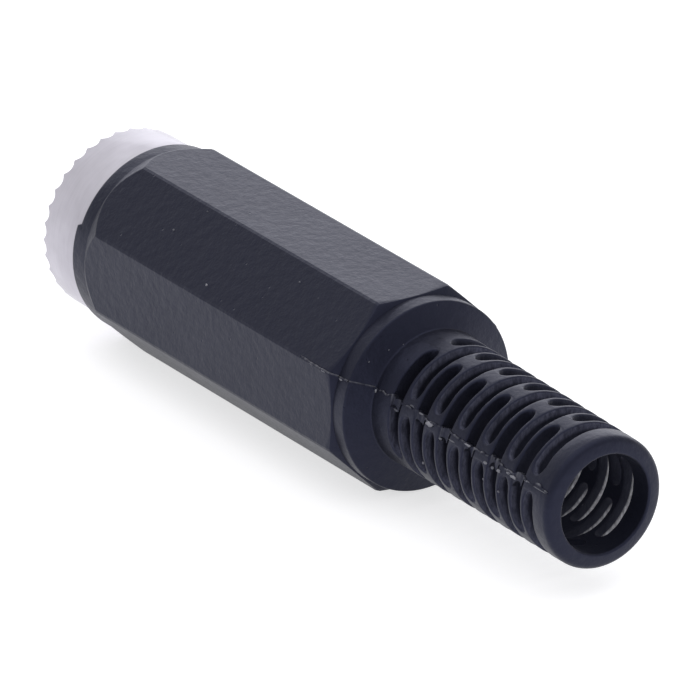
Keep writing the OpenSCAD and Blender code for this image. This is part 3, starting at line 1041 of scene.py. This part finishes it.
def soft_box(name, location, aim, width, height, brightness, colour):
    """An area light of an even brightness, turned towards a point."""
    lamp = bpy.data.lights.new(name, "AREA")
    lamp.shape = "RECTANGLE"
    lamp.size = width
    lamp.size_y = height
    lamp.energy = brightness * width * height * math.pi
    lamp.color = colour
    made = bpy.data.objects.new(name, lamp)
    made.location = location
    made.rotation_euler = (Vector(aim) - Vector(location)).to_track_quat("-Z", "Y").to_euler()
    made.visible_camera = False
    bpy.context.scene.collection.objects.link(made)


def lit_where_seen(tree, strength):
    """A strength that counts only where the camera, a mirror or glass shows the surface."""
    path = tree.nodes.new("ShaderNodeLightPath").outputs
    seen = [path["Is %s Ray" % kind] for kind in ("Camera", "Glossy", "Transmission")]
    return product(tree, calc(tree, "MAXIMUM", *seen), strength)


def build_floor(g):
    """A pale floor under the object, which keeps its shadow."""
    bm = bmesh.new()
    rest = Matrix.Translation((0, 0, REST_HEIGHT))
    bmesh.ops.create_grid(bm, x_segments=1, y_segments=1, size=3.0, matrix=rest)
    material = bpy.data.materials.new("floor_card")
    material.use_nodes = True
    tree = material.node_tree
    card = tree.nodes["Principled BSDF"]
    feed(tree, card.inputs["Base Color"], g.floor)
    feed(tree, card.inputs["Roughness"], 0.9)
    feed(tree, card.inputs["Specular IOR Level"], 0.0)
    glow = add(tree, "ShaderNodeEmission", {"Strength": lit_where_seen(tree, g.floor_lift)})
    both = add(tree, "ShaderNodeAddShader", {0: card.outputs[0], 1: glow.outputs[0]})
    tree.links.new(both.outputs[0], tree.nodes["Material Output"].inputs["Surface"])
    make_object(bm, "floor", material)


def build_world(g):
    """Even grey surroundings."""
    world = bpy.data.worlds.new("studio")
    world.use_nodes = True
    background = world.node_tree.nodes["Background"].inputs
    background["Color"].default_value = (1.0, 1.0, 1.0, 1.0)
    background["Strength"].default_value = g.fill
    bpy.context.scene.world = world


def build_camera(g):
    """The camera at the photograph's view."""
    right = Vector((math.cos(g.heading), math.sin(g.heading), 0.0))
    level_back = Vector((math.sin(g.heading), -math.cos(g.heading), 0.0))
    back = math.cos(g.elevation) * level_back + Vector((0.0, 0.0, math.sin(g.elevation)))
    above = back.cross(right)
    data = bpy.data.cameras.new("view")
    data.lens = g.lens
    data.sensor_width = 36.0
    data.clip_start = 0.05
    data.clip_end = 20.0
    made = bpy.data.objects.new("view", data)
    basis = Matrix((right, above, back)).transposed().to_4x4()
    aim = g.aim_right * right - g.aim_down * above
    made.matrix_world = Matrix.Translation(aim + g.distance * back) @ basis
    bpy.context.scene.collection.objects.link(made)
    bpy.context.scene.camera = made


def build_stage():
    """Floor, surroundings, two soft boxes and the camera."""
    g = settings("stage")
    bpy.context.scene.view_settings.view_transform = "Standard"
    build_floor(g)
    build_world(g)
    middle = -0.02
    soft_box("top_box", location=(middle, 0.0, 0.55), aim=(middle, 0.0, 0.0), width=0.9, height=0.9,
             brightness=g.top, colour=g.plain)
    side = math.radians(-38.0)
    reach = 0.6
    wall_height = 0.25
    soft_box("back_wall", location=(reach * math.cos(side), reach * math.sin(side), wall_height),
             aim=(0.0, 0.0, wall_height), width=1.06, height=0.48, brightness=g.back, colour=g.cool)
    build_camera(g)


class SOCKET_OT_cover(Operator):
    """Builds the moulded cover with its slotted tail and the flash on its parting lines"""

    bl_idname = "socket.make_cover"
    bl_label = "Cover"

    def execute(self, context):
        build_cover()
        build_flash()
        return {"FINISHED"}


class SOCKET_OT_collar(Operator):
    """Builds the plated collar with its teeth and thread"""

    bl_idname = "socket.make_collar"
    bl_label = "Collar"

    def execute(self, context):
        build_collar()
        return {"FINISHED"}


class SOCKET_OT_contacts(Operator):
    """Gives the insert, pin, terminals and washer their finishes"""

    bl_idname = "socket.finish_contacts"
    bl_label = "Contacts"

    def execute(self, context):
        finish_contacts()
        return {"FINISHED"}


class SOCKET_OT_stage(Operator):
    """Builds the floor, the soft light and the camera"""

    bl_idname = "socket.make_stage"
    bl_label = "Stage"

    def execute(self, context):
        build_stage()
        return {"FINISHED"}


OPERATORS = (SOCKET_OT_cover, SOCKET_OT_collar, SOCKET_OT_contacts, SOCKET_OT_stage)
SETTINGS = {"cover": CoverSettings, "collar": CollarSettings,
            "contacts": ContactSettings, "stage": StageSettings}


class SOCKET_PT_panel(Panel):
    """Lists the steps that dress the socket, with their sizes and colours"""

    bl_idname = "SOCKET_PT_panel"
    bl_label = "Barrel power socket"
    bl_space_type = "VIEW_3D"
    bl_region_type = "UI"
    bl_category = "Socket"

    def draw(self, context):
        for operator, kind in zip(OPERATORS, SETTINGS):
            box = self.layout.box()
            box.operator(operator.bl_idname)
            group = getattr(context.scene, "socket_" + kind)
            for name in group.__annotations__:
                box.prop(group, name)


CLASSES = (*SETTINGS.values(), *OPERATORS, SOCKET_PT_panel)


def register():
    """Registers the classes and hangs the settings on the scene."""
    for item in CLASSES:
        bpy.utils.register_class(item)
    for kind, group in SETTINGS.items():
        setattr(bpy.types.Scene, "socket_" + kind, PointerProperty(type=group))


def unregister():
    """Takes the settings and classes away again."""
    for kind in SETTINGS:
        delattr(bpy.types.Scene, "socket_" + kind)
    for item in reversed(CLASSES):
        bpy.utils.unregister_class(item)


def main():
    """Runs each step in order."""
    register()
    bpy.ops.socket.make_cover()
    bpy.ops.socket.make_collar()
    bpy.ops.socket.finish_contacts()
    bpy.ops.socket.make_stage()


if __name__ == "__main__":
    main()
